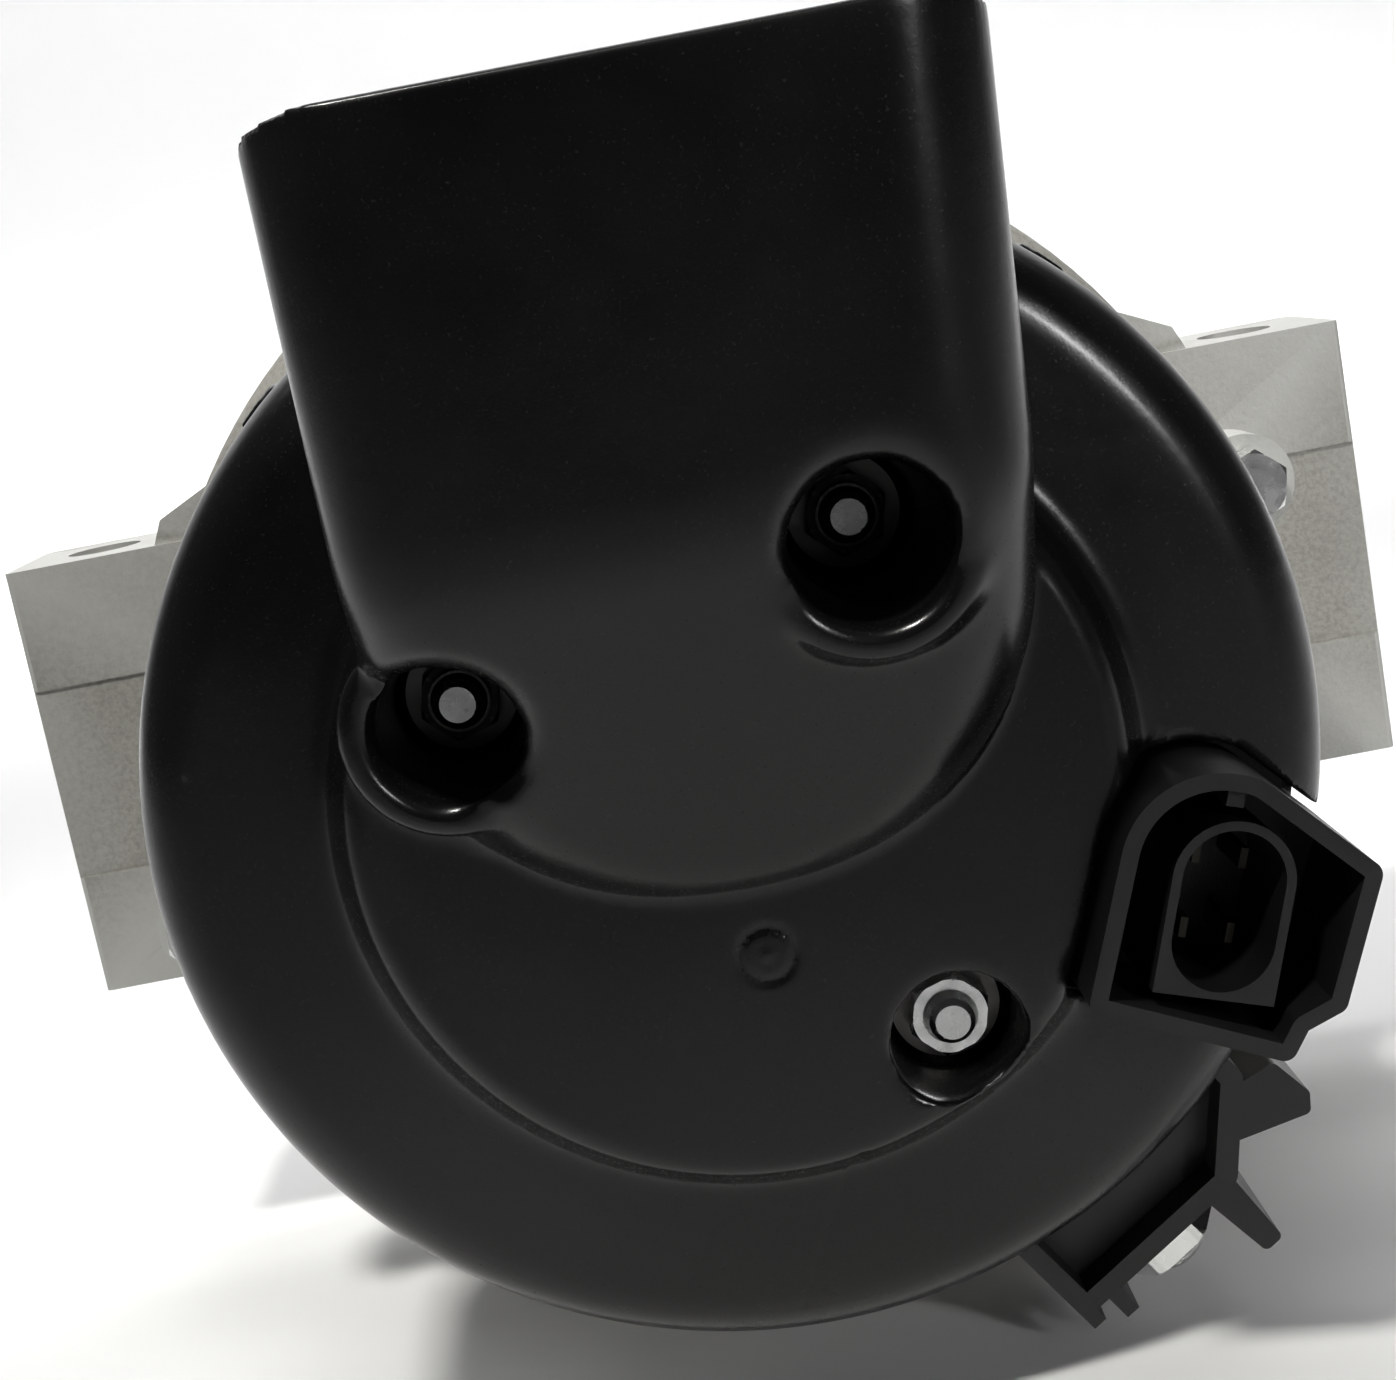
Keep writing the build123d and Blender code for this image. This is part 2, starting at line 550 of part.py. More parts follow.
def make_front_bracket():
    bearing_r = FRONT_BEARING["outer"]
    seat_y = FRONT_BEARING["mid"] + FRONT_BEARING["width"] / 2
    hub_y = FRONT_BEARING["mid"] - FRONT_BEARING["width"] / 2
    points = [(BRACKET_R, -LUG_HALF_DEPTH), (BRACKET_R, 22), (61, FRONT_FACE_Y), (13.8, FRONT_FACE_Y),
              (13.8, seat_y), (bearing_r, seat_y), (bearing_r, hub_y), (30.5, hub_y), (30.5, 30), (58, 30),
              (65.6, 20), (65.6, CORE_FRONT_Y), (CORE_R, CORE_FRONT_Y), (CORE_R, -LUG_HALF_DEPTH)]
    body = turned(points, {1: 4.0, 2: 4.0})
    body = without(body, ring_of(block(34, 55, 20, 50, -4.6, 4.6), 12, 15))
    body = without(body, ring_of(block(55, 75, 5.5, 19.5, -4.0, 4.0), 16, 90 / 16 + 5.625))
    for side in (-1, 1):
        ear = block(55, LUG_OUT_X, -LUG_HALF_DEPTH, LUG_HALF_DEPTH, -LUG_HALF_HEIGHT, LUG_HALF_HEIGHT)
        corners = [e for e in ear.edges().filter_by(Axis.Z) if (e @ 0.5).X > LUG_X]
        ear = fillet(corners, 0.8)
        panel = block(70.5, LUG_OUT_X + 1, -LUG_HALF_DEPTH - 1, LUG_PANEL_DEPTH - LUG_HALF_DEPTH,
                      -LUG_PANEL_HALF, LUG_PANEL_HALF)
        ear -= panel
        root = prism([(52, -38), (62, -38), (78, -30.4), (78, 30.4), (62, 38), (52, 38)],
                     -LUG_HALF_DEPTH + 0.6, LUG_HALF_DEPTH + 4)
        ear += root & rod(78.5, -30, 30)
        ear -= rod(65.7, -50, 50)
        ear -= rod(CORE_R, -50, CORE_FRONT_Y)
        ear -= post(LUG_BORE_R, -50, 50, LUG_X, 0)
        body += mirror(ear, Plane.YZ) if side < 0 else ear
    for i in range(4):
        x, z = at_angle(BOLT_ANGLE + 90 * i, BOLT_CIRCLE_R)
        lug = rod(6.4, -LUG_HALF_DEPTH, 10, x, z) - rod(CORE_R + 0.5, -50, 50)
        body += lug
        body -= rod(BOLT_R, -50, 6, x, z)
    for i in range(4):
        body -= rod(2.0, 0, 24, *at_angle(45 + 90 * i, RETAINER_SCREW_R))
    return body


save("rear_bracket", make_rear_bracket())
save("front_bracket", make_front_bracket())

bolts = []
for i in range(4):
    x, z = at_angle(BOLT_ANGLE + 90 * i, BOLT_CIRCLE_R)
    head = to_rear(BOLT_HEAD_Y, x, z) * Rot(0, 0, 20) * hexagon(8.0, 4.2)
    bolts.append(rod(BOLT_R, BOLT_HEAD_Y, 5.5, x, z) + head)
save("through_bolts", *bolts)


# ---------------------------------------------------------------- stator
core = tube(CORE_R, CORE_BORE_R, CORE_REAR_Y, CORE_FRONT_Y)
slot = block(CORE_BORE_R - 2, SLOT_OUT_R, CORE_REAR_Y - 1, CORE_FRONT_Y + 1, -SLOT_WIDTH / 2, SLOT_WIDTH / 2)
save("stator_core", without(core, ring_of(slot, SLOTS)))


def end_turn(start_y, length):
    """The bundle of wire that stands out of one end of the core."""
    way = length / abs(length)
    foot = start_y + way * 0.6
    points = [(53.2, foot), (SLOT_OUT_R - 0.6, foot), (SLOT_OUT_R - 0.6, start_y + length),
              (54.0, start_y + length), (53.2, start_y + way * 5.0)]
    return turned(points, {2: 3.0, 3: 2.6})


bar_half = SLOT_WIDTH / 2 - 0.3
bar = block(53.2, SLOT_OUT_R - 0.6, CORE_REAR_Y - 2, CORE_FRONT_Y + 2, -bar_half, bar_half)
winding = end_turn(CORE_REAR_Y, -END_TURN_REAR) + end_turn(CORE_FRONT_Y, END_TURN_FRONT)
for one_bar in ring_of(bar, SLOTS):
    winding += one_bar
save("stator_winding", winding)
leads = [rod(1.0, -83.6, CORE_REAR_Y - END_TURN_REAR, *at_angle(a, LEAD_R)) for a in LEAD_ANGLES]
save("stator_leads", *leads)


# ---------------------------------------------------------------- rotor
def claw_pole(plate_y, tip_y):
    """One iron half of the rotor; plate_y is the plate's outer face and tip_y is where the claws end."""
    way = 1 if tip_y > plate_y else -1
    inner_y = plate_y + way * POLE_PLATE
    middle_y = (POLE_REAR_Y + POLE_FRONT_Y) / 2
    y0, y1 = sorted((plate_y, inner_y))
    body = rod(37.0, y0, y1)
    body += rod(23.0, *sorted((plate_y, middle_y)))
    outline = [(plate_y, -14.0), (inner_y, -14.0), (tip_y, -6.5),
               (tip_y, 6.5), (inner_y, 14.0), (plate_y, 14.0)]
    claw = extrude(Plane.YZ * make_face(Polyline(*outline, close=True)), 60)
    shell = turned([(40.0, plate_y), (ROTOR_R, plate_y), (ROTOR_R, tip_y), (46.8, tip_y), (40.5, inner_y)])
    spoke = block(20, 41, y0, y1, -14.0, 14.0)
    limit = turned([(0, plate_y), (ROTOR_R - 1.6, plate_y), (ROTOR_R, plate_y + way * 1.6), (ROTOR_R, tip_y),
                    (0, tip_y)])
    one = (claw & shell) + (spoke & rod(45, y0, y1))
    for copy in ring_of(one & limit, CLAWS, 0 if way > 0 else 180 / CLAWS):
        body += copy
    return body - rod(FRONT_BEARING["bore"], -100, 50)


save("claw_pole_rear", claw_pole(POLE_REAR_Y, CORE_FRONT_Y - 3.0))
save("claw_pole_front", claw_pole(POLE_FRONT_Y, CORE_REAR_Y + 3.0))

coil_y0 = POLE_REAR_Y + POLE_PLATE + 0.1
coil_y1 = POLE_FRONT_Y - POLE_PLATE - 0.1
bobbin = tube(24.6, 23.05, coil_y0, coil_y1)
bobbin += tube(COIL_R, 23.05, coil_y0, coil_y0 + 1.2) + tube(COIL_R, 23.05, coil_y1 - 1.2, coil_y1)
save("coil_bobbin", bobbin)
save("field_coil", tube(COIL_R - 0.8, 24.6, coil_y0 + 1.2, coil_y1 - 1.2))


def make_shaft():
    points = [(0, -94.8), (4.6, -94.8), (4.6, -77.0), (REAR_BEARING["bore"], -77.0),
              (REAR_BEARING["bore"], -61.5), (10.0, -61.5), (10.0, POLE_REAR_Y - 1.4),
              (FRONT_BEARING["bore"], POLE_REAR_Y - 1.4), (FRONT_BEARING["bore"], 57.5), (8.0, 57.5),
              (8.0, 71.5), (0, 71.5)]
    body = turned(points)
    body = chamfer(body.edges().sort_by(Axis.Y)[-1], 1.0)
    return body - Pos(0, 72, 0) * Rot(90, 0, 0) * extrude(RegularPolygon(4.6, 6), 9)


save("shaft", make_shaft())


def make_fan(y0, y1, hub_r, blades, lean):
    """Sheet-metal fan: a flat disc that starts at y0 with blades that reach y1."""
    sheet = 1.2
    way = 1 if y1 > y0 else -1
    disc_y = sorted((y0, y0 + way * sheet))
    body = tube(40.0, hub_r, *disc_y)
    blade_y = sorted((y0, y1))
    for i in range(blades):
        angle = i * 360 / blades + (i % 3) * 4
        wing = Pos(38.5, 0, 0) * Rot(0, lean, 0) * block(-9.5, 9.5, *blade_y, -sheet / 2, sheet / 2)
        foot = Pos(38.5, 0, 0) * Rot(0, lean, 0) * block(-9.5, 9.5, *disc_y, -4.0, sheet / 2)
        body += about_y(angle) * (wing + foot)
    return body & tube(48.2, hub_r, *blade_y)


save("fan_rear", make_fan(POLE_REAR_Y - 0.1, POLE_REAR_Y - 12.0, 10.1, 12, 32))
save("fan_front", make_fan(POLE_FRONT_Y + 0.1, POLE_FRONT_Y + 9.0, 8.6, 10, -32))

hub = tube(6.3, 4.6, -94.6, -77.6)
for y in RING_YS:
    hub -= tube(8.0, 5.6, y - RING_WIDTH / 2, y + RING_WIDTH / 2)
rims = [RING_YS[0] + RING_WIDTH / 2, (RING_YS[0] + RING_YS[1]) / 2, RING_YS[1] - RING_WIDTH / 2]
for y in rims:
    hub += tube(6.9, 6.0, y - 0.4, y + 0.4)
save("slip_ring_hub", hub)
rings = [tube(RING_R, 5.6, y - RING_WIDTH / 2 + 0.4, y + RING_WIDTH / 2 - 0.4) for y in RING_YS]
save("slip_rings", *rings)

spacer_y0 = POLE_FRONT_Y + 1.4
save("rotor_spacer", tube(SPACER_R, 8.5, spacer_y0, 17.0))
save("pulley_spacer", tube(SPACER_R, 8.5, 31.0, PULLEY_Y0))


# ---------------------------------------------------------------- bearings
def make_bearing(label, bore, outer, width, mid, ball, count):
    pitch = (bore + outer) / 2
    y0, y1 = mid - width / 2, mid + width / 2
    race_gap = ball * 0.52
    groove = Pos(0, mid, 0) * Rot(90, 0, 0) * Torus(pitch, ball + BALL_GAP)
    inner_race = tube(pitch - race_gap, bore, y0, y1) - groove
    outer_race = tube(outer, pitch + race_gap, y0, y1) - groove
    balls = ring_of(Pos(pitch, mid, 0) * Sphere(ball), count)
    band = ball * 0.22
    cage = tube(pitch + band, pitch - band, mid - ball - 1.0, mid + ball + 1.0)
    pockets = ring_of(Pos(pitch, mid, 0) * Rot(0, 90, 0) * Cylinder(ball + 0.12, ball), count)
    shields = []
    for way in (-1, 1):
        face = mid + way * (width / 2 - 0.3)
        step = sorted((face, face - way * 0.6))
        shields.append(tube(pitch + race_gap, pitch - race_gap + 0.35, *step))
    save(f"{label}_bearing_inner_race", inner_race)
    save(f"{label}_bearing_outer_race", outer_race)
    save(f"{label}_bearing_balls", *balls)
    save(f"{label}_bearing_cage", without(cage, pockets))
    save(f"{label}_bearing_shields", *shields)


make_bearing("front", **FRONT_BEARING)
make_bearing("rear", **REAR_BEARING)

retainer_y = FRONT_BEARING["mid"] - FRONT_BEARING["width"] / 2
retainer = tube(30.3, 19.0, retainer_y - 2.0, retainer_y)
retainer_screws = []
for i in range(4):
    x, z = at_angle(45 + 90 * i, RETAINER_SCREW_R)
    retainer -= rod(2.0, retainer_y - 5, retainer_y + 5, x, z)
    head = rod(3.2, retainer_y - 4.0, retainer_y - 2.0, x, z)
    retainer_screws.append(rod(2.0, retainer_y - 2.0, retainer_y + 6.5, x, z) + head)
save("bearing_retainer", retainer)
save("retainer_screws", *retainer_screws)


# ---------------------------------------------------------------- pulley
def make_pulley():
    middle = (PULLEY_Y0 + PULLEY_Y1) / 2
    first = middle - RIBS * RIB_PITCH / 2
    points = [(8.5, PULLEY_Y0), (PULLEY_R + 0.6, PULLEY_Y0),
              (PULLEY_R + 0.6, first - 1.4), (PULLEY_R, first - 0.4)]
    for i in range(RIBS + 1):
        y = first + i * RIB_PITCH
        if i > 0:
            points.append((PULLEY_R, y - 0.35))
        if i < RIBS:
            points.append((PULLEY_R, y + 0.35))
            points.append((PULLEY_R - RIB_DEPTH, y + RIB_PITCH / 2 - 0.35))
            points.append((PULLEY_R - RIB_DEPTH, y + RIB_PITCH / 2 + 0.35))
    last = first + RIBS * RIB_PITCH
    points += [(PULLEY_R, last + 0.4), (PULLEY_R + 0.6, last + 1.4), (PULLEY_R + 0.6, PULLEY_Y1),
               (21.0, PULLEY_Y1), (18.5, 57.5), (8.5, 57.5)]
    return turned(points)


save("pulley", make_pulley())
pulley_nut = hexagon(24.0, 9.5) - Cylinder(8.0, 40)
save("pulley_nut", Pos(0, 67.0, 0) * Rot(90, 0, 0) * pulley_nut)
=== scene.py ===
import bpy
import bmesh
import json
import math
import numpy as np
import random
from mathutils import Matrix, Vector


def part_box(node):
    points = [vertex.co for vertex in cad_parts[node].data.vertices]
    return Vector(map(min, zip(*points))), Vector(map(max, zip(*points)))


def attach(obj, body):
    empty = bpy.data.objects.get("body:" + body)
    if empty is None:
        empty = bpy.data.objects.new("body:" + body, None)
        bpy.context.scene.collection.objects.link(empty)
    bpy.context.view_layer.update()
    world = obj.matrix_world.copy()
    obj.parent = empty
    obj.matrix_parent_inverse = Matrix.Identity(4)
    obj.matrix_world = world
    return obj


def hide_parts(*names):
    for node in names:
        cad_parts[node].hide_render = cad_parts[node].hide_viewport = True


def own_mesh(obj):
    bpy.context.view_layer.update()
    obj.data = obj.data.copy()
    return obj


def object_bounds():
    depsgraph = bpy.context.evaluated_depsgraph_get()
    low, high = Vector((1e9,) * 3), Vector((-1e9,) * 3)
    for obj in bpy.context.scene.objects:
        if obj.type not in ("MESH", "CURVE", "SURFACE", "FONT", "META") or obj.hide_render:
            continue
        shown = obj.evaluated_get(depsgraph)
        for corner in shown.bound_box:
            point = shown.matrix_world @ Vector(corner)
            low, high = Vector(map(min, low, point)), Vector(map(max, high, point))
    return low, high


# A vehicle alternator in metres, in the frame of its CAD model: the origin is on the shaft's axis,
# +X is to the right seen from the rear, +Y is towards the pulley and +Z is up.
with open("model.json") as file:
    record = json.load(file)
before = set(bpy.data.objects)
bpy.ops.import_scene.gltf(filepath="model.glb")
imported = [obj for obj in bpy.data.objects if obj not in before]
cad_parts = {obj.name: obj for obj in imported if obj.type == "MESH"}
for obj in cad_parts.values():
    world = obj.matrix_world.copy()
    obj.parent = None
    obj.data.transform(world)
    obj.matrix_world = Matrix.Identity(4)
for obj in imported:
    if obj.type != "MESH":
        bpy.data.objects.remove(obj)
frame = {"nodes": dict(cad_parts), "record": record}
cad_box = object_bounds()
nodes = frame["nodes"]
random.seed(7)


# ------------------------------------------------------------------ materials
class Shader:
    """A node material built step by step around one Principled shader."""

    def __init__(self, name):
        self.mat = bpy.data.materials.new(name)
        self.mat.use_nodes = True
        self.tree = self.mat.node_tree
        self.out = self.tree.nodes["Principled BSDF"]
        self.coords = self.add("ShaderNodeTexCoord").outputs["Object"]
        self.bumps = None

    def add(self, kind, values=None, **settings):
        """A new node with its settings, and with values for its input sockets."""
        node = self.tree.nodes.new(kind)
        for key, value in settings.items():
            setattr(node, key, value)
        for key, value in (values or {}).items():
            node.inputs[key].default_value = value
        return node

    def link(self, start, end):
        """A wire from an output socket to an input socket."""
        self.tree.links.new(start, end)

    def set(self, **values):
        """Values of the Principled shader's own sockets, with _ for a space in their names."""
        for key, value in values.items():
            self.out.inputs[key.replace("_", " ")].default_value = value

    def mapped(self, scale, turn=(0, 0, 0)):
        """The object's coordinates, stretched and turned."""
        node = self.add("ShaderNodeMapping", {"Scale": scale, "Rotation": turn})
        self.link(self.coords, node.inputs["Vector"])
        return node.outputs["Vector"]

    def noise(self, scale, detail, rough, vector=None, distortion=0.0):
        """Cloudy noise; scale is in features per metre."""
        values = {"Scale": scale, "Detail": detail, "Roughness": rough, "Distortion": distortion}
        node = self.add("ShaderNodeTexNoise", values)
        self.link(vector or self.coords, node.inputs["Vector"])
        return node.outputs["Fac"]

    def cells(self, scale):
        """Distance to the middle of the nearest cell."""
        node = self.add("ShaderNodeTexVoronoi", {"Scale": scale})
        self.link(self.coords, node.inputs["Vector"])
        return node.outputs["Distance"]

    def ramp(self, fac, stops):
        """Colour ramp; stops are (place, value or colour)."""
        node = self.add("ShaderNodeValToRGB")
        self.link(fac, node.inputs["Fac"])
        points = node.color_ramp.elements
        while len(points) < len(stops):
            points.new(0.5)
        for point, (place, value) in zip(points, stops):
            point.position = place
            if isinstance(value, (int, float)):
                value = (value, value, value)
            point.color = (*value[:3], 1.0)
        return node.outputs["Color"]

    def mix(self, fac, first, second):
        """The first colour where the factor is 0 and the second where it is 1; each a socket or a value."""
        node = self.add("ShaderNodeMix", data_type="RGBA")
        colours = [socket for socket in node.inputs if socket.type == "RGBA"]
        factor = [socket for socket in node.inputs if socket.name == "Factor"][0]
        for socket, value in ((factor, fac), (colours[0], first), (colours[1], second)):
            if isinstance(value, bpy.types.NodeSocket):
                self.link(value, socket)
            elif isinstance(value, (tuple, list)):
                socket.default_value = (*value[:3], 1.0)
            else:
                socket.default_value = value
        return [socket for socket in node.outputs if socket.type == "RGBA"][0]

    def edges(self, low, high):
        """1 on sharp outer edges, 0 on flats and hollows."""
        node = self.add("ShaderNodeNewGeometry")
        return self.ramp(node.outputs["Pointiness"], [(low, 0.0), (high, 1.0)])

    def bump(self, height, strength, distance):
        """One more layer of relief, on top of those before it."""
        node = self.add("ShaderNodeBump", {"Strength": strength, "Distance": distance})
        self.link(height, node.inputs["Height"])
        if self.bumps is not None:
            self.link(self.bumps, node.inputs["Normal"])
        self.bumps = node.outputs["Normal"]

    def done(self, colour, roughness):
        """The finished material."""
        self.link(colour, self.out.inputs["Base Color"])
        self.link(roughness, self.out.inputs["Roughness"])
        self.link(self.bumps, self.out.inputs["Normal"])
        return self.mat


def gloss_black():
    """Moulded nylon of the rear cover: glossy, with faint flow marks, fine dust and small scratches."""
    look = Shader("cover_nylon")
    look.set(IOR=1.48)
    cloud = look.noise(38, 4, 0.6)
    dust = look.ramp(look.noise(2600, 3, 0.7), [(0.62, 0.0), (0.74, 1.0)])
    cloudy = look.ramp(cloud, [(0.35, 0.0), (0.7, 1.0)])
    base = look.mix(cloudy, (0.0032, 0.0034, 0.0034), (0.0052, 0.0053, 0.005))
    base = look.mix(dust, base, (0.012, 0.012, 0.0115))
    base = look.mix(look.edges(0.54, 0.64), base, (0.014, 0.014, 0.014))
    rough = look.ramp(cloud, [(0.3, 0.2), (0.75, 0.29)])
    rough = look.mix(dust, rough, (0.42, 0.42, 0.42))
    scratch = look.noise(160, 5, 0.7, look.mapped((1, 0.16, 14), (0.3, 0.2, 0.5)))
    look.bump(look.noise(420, 3, 0.5), 0.1, 0.00022)
    look.bump(look.noise(3200, 2, 0.5), 0.1, 0.00006)
    look.bump(look.ramp(scratch, [(0.64, 0.0), (0.67, 1.0)]), 0.04, 0.00005)
    return look.done(base, rough)


def matte_black(name, tone, rough_low, rough_high, tint=(1.0, 1.0, 1.03)):
    """Fine-grained moulded plastic with paler edges."""
    look = Shader(name)
    cloud = look.noise(60, 4, 0.6)
    dark = tuple(tone * 0.75 * part for part in tint)
    light = tuple(tone * 1.4 * part for part in tint)
    base = look.mix(cloud, dark, light)
    base = look.mix(look.edges(0.54, 0.64), base, tuple(tone * 2.6 * part for part in tint))
    rough = look.ramp(cloud, [(0.3, rough_low), (0.7, rough_high)])
    look.bump(look.noise(2600, 3, 0.6), 0.22, 0.00012)
    look.bump(look.noise(300, 3, 0.6), 0.1, 0.0003)
    return look.done(base, rough)


def cast_aluminium():
    """Sand-grey die casting: fine pits, cloudy oxide and brighter rubbed edges."""
    look = Shader("cast_aluminium")
    look.set(Metallic=0.45)
    cloud = look.noise(42, 5, 0.62, distortion=0.4)
    fine = look.noise(1300, 4, 0.7)
    base = look.mix(look.ramp(cloud, [(0.3, 0.0), (0.72, 1.0)]), (0.35, 0.343, 0.312), (0.46, 0.452, 0.415))
    base = look.mix(look.ramp(fine, [(0.35, 0.4), (0.6, 0.0)]), base, (0.17, 0.16, 0.14))
    base = look.mix(look.edges(0.52, 0.6), base, (0.55, 0.55, 0.53))
    rough = look.ramp(cloud, [(0.3, 0.66), (0.72, 0.52)])
    look.bump(fine, 0.34, 0.00022)
    look.bump(look.noise(260, 4, 0.6), 0.26, 0.0005)
    look.bump(look.ramp(look.cells(700), [(0.0, 0.0), (0.35, 1.0)]), 0.14, 0.0002)
    return look.done(base, rough)


def plated(name, colour, low, high, patch=0.5, rubbed=1.25):
    """Zinc-plated or turned steel: cloudy tone, fine lines and brighter rubbed edges."""
    look = Shader(name)
    look.set(Metallic=1.0)
    cloud = look.noise(180, 4, 0.6)
    dark = tuple(part * patch for part in colour)
    base = look.mix(look.ramp(cloud, [(0.3, 0.0), (0.75, 1.0)]), dark, colour)
    base = look.mix(look.edges(0.52, 0.6), base, tuple(min(1.0, part * rubbed) for part in colour))
    rough = look.ramp(look.noise(320, 4, 0.6), [(0.3, low), (0.7, high)])
    look.bump(look.noise(900, 3, 0.6, look.mapped((1, 6, 1))), 0.12, 0.00012)
    look.bump(look.noise(3000, 2, 0.5), 0.08, 0.00006)
    return look.done(base, rough)


def sheet_stack():
    """Edges of the stator's stacked sheets: fine lines about a millimetre apart along the shaft."""
    look = Shader("sheet_stack")
    look.set(Metallic=0.85)
    values = {"Scale": 320, "Distortion": 0.6, "Detail Scale": 0.4}
    wave = look.add("ShaderNodeTexWave", values, wave_type="BANDS", bands_direction="Y", wave_profile="SAW")
    look.link(look.coords, wave.inputs["Vector"])
    cloud = look.noise(50, 4, 0.65)
    base = look.mix(look.ramp(cloud, [(0.35, 0.0), (0.7, 1.0)]), (0.17, 0.16, 0.15), (0.33, 0.32, 0.31))
    base = look.mix(look.ramp(look.noise(90, 5, 0.7), [(0.6, 0.0), (0.72, 0.7)]), base, (0.16, 0.08, 0.045))
    base = look.mix(look.ramp(wave.outputs["Fac"], [(0.0, 0.5), (0.25, 0.0)]), base, (0.05, 0.05, 0.05))
    look.bump(wave.outputs["Fac"], 0.4, 0.00012)
    look.bump(look.noise(1200, 3, 0.6), 0.2, 0.0001)
    return look.done(base, look.ramp(cloud, [(0.3, 0.4), (0.7, 0.6)]))


def enamelled_wire():
    """Varnished copper."""
    look = Shader("enamelled_wire")
    look.set(Metallic=0.65, Coat_Weight=0.5, Coat_Roughness=0.18)
    cloud = look.noise(120, 4, 0.6)
    base = look.mix(look.ramp(cloud, [(0.3, 0.0), (0.7, 1.0)]), (0.23, 0.065, 0.02), (0.52, 0.19, 0.07))
    look.bump(look.noise(700, 3, 0.6), 0.2, 0.0002)
    return look.done(base, look.ramp(cloud, [(0.3, 0.28), (0.7, 0.42)]))


MATERIALS = {
    "cover_plastic": gloss_black(),
    "plug_plastic": matte_black("plug_nylon", 0.0042, 0.36, 0.5),
    "inner_plastic": matte_black("inner_resin", 0.03, 0.4, 0.6, (1.05, 1.0, 0.9)),
    "zinc_steel": plated("zinc_steel", (0.74, 0.75, 0.74), 0.16, 0.34, 0.62),
    "bare_steel": plated("bare_steel", (0.5, 0.5, 0.51), 0.2, 0.4, 0.7),
    "iron": plated("forged_iron", (0.2, 0.185, 0.17), 0.4, 0.62, 0.5),
    "core_steel": sheet_stack(),
    "cast_aluminium": cast_aluminium(),
    "sheet_aluminium": plated("sheet_aluminium", (0.74, 0.74, 0.75), 0.26, 0.42, 0.8),
    "copper_wire": enamelled_wire(),
    "copper_strip": plated("copper_strip", (0.72, 0.36, 0.2), 0.2, 0.42, 0.6),
    # Its near-black colour is painted shade: the contact pins sit in the shade inside the plug, and tinned
    # brass itself is pale.
    "tin_brass": plated("tinned_brass_painted_shade", (0.03, 0.028, 0.024), 0.4, 0.55, 0.6),
    "carbon": matte_black("carbon", 0.03, 0.5, 0.7),
    "spring_steel": plated("spring_steel", (0.48, 0.48, 0.48), 0.22, 0.36, 0.7),
    # Its near-black colour is partly the phosphated finish and partly painted shade of the nuts and washers
    # that sit deep in the cover's wells.
    "black_steel": plated("phosphated_steel_and_well_shade", (0.04, 0.039, 0.037), 0.3, 0.45, 0.5, 5.0),
    "pulley_steel": plated("black_phosphate", (0.07, 0.07, 0.075), 0.32, 0.5, 0.6),
}

# Each CAD node gets the material of its slot.
slot_of = {entry["node"]: entry["material_slot"] for entry in frame["record"]["subparts"]}
for name, obj in nodes.items():
    obj.data.materials.clear()
    obj.data.materials.append(MATERIALS[slot_of[name]])


# ------------------------------------------------------------------ what every new piece needs
def curve_mesh(curve):
    """The smooth mesh of a curve with a bevel."""
    wire = bpy.data.objects.new(curve.name, curve)
    bpy.context.scene.collection.objects.link(wire)
    graph = bpy.context.evaluated_depsgraph_get()
    mesh = bpy.data.meshes.new_from_object(wire.evaluated_get(graph))
    bpy.data.objects.remove(wire)
    for poly in mesh.polygons:
        poly.use_smooth = True
    return mesh


def new_piece(name, mesh, slot):
    """An object of this mesh in the scene, with its slot's material."""
    mesh.materials.clear()
    mesh.materials.append(MATERIALS[slot])
    piece = bpy.data.objects.new(name, mesh)
    bpy.context.scene.collection.objects.link(piece)
    return piece


# ------------------------------------------------------------------ rear cover, soft-edged as moulded
VOXEL = 0.00055  # edge of the evenly spaced mesh

# Each stud well: x and z of its axis, y of its rim, radius of its bore.
# The first two break through the duct's face.
WELLS = [
    (0.0166, 0.0266, -0.117, 0.0079),
    (-0.0267, 0.015, -0.107, 0.0077),
    (0.0182, -0.029, -0.0995, 0.0078),
]
LIP_WALL = 0.0036
DUCT_WELLS = 2

# The bevel where a well breaks through the duct's face.
FLARE = 0.002  # its width, and its depth at the bore
FLARE_REACH = 0.006  # how deep under the face the wall gives way to it
FLARE_INSIDE = 0.0006  # how far inside the bore's radius a point still belongs to its wall
FLARE_CURVE = 1.2
FLARE_START = 0.0004  # the bevel starts where the face is this far over the rim,
FLARE_FADE = 0.0022  # and is whole this much further up

# Where the height of the duct's face is read, in a ring round the bevel.
FACE_RING = 0.0008
FACE_RING_HALF = 0.0006
FACE_ANGLE_HALF = 0.09
FACE_PLACES = 73
FACE_TURN = -0.5  # y of the normal: only faces that turn to the rear
FACE_BELOW_RIM = 0.004

# The soft zones: how wide each is and how strongly it is relaxed, all to the rear of the y given.
FOOT_OUT = 0.001
FOOT_WIDTH = 0.004
FOOT_Y = -0.088
MOUTH_WIDTH = 0.004
MOUTH_SOFT = 0.25
MOUTH_BELOW_RIM = 0.0045
STEP_R = 0.0415  # between the plateau's edge and the ring round it
STEP_WIDTH = 0.0045
STEP_SOFT = 0.8
STEP_Y = -0.0915
RELAX_WEIGHT = 0.6
RELAX_ROUNDS = 22

# A light relaxing of the whole mesh, which takes the voxels' steps away.
SMOOTH_WEIGHT = 0.5
SMOOTH_ROUNDS = 2

# Marks of the moulding: a ring with a dot at the gate, and a flow line below it.
GATE = (0.0, -0.016)
GATE_R = 0.0029
GATE_HEIGHT = 0.00022
GATE_WIDTH = 0.0007
DOT_DEPTH = 0.00025
DOT_WIDTH = 0.0009
FLOW_LINE = ((0.006, -0.040), (-0.003, -0.0586))
FLOW_HEIGHT = 0.00016
FLOW_WIDTH = 0.0008
MARKS_Y = -0.085  # only outside the cover: to the rear of this,
MARKS_TURN = -0.3  # and with a normal that turns to the rear


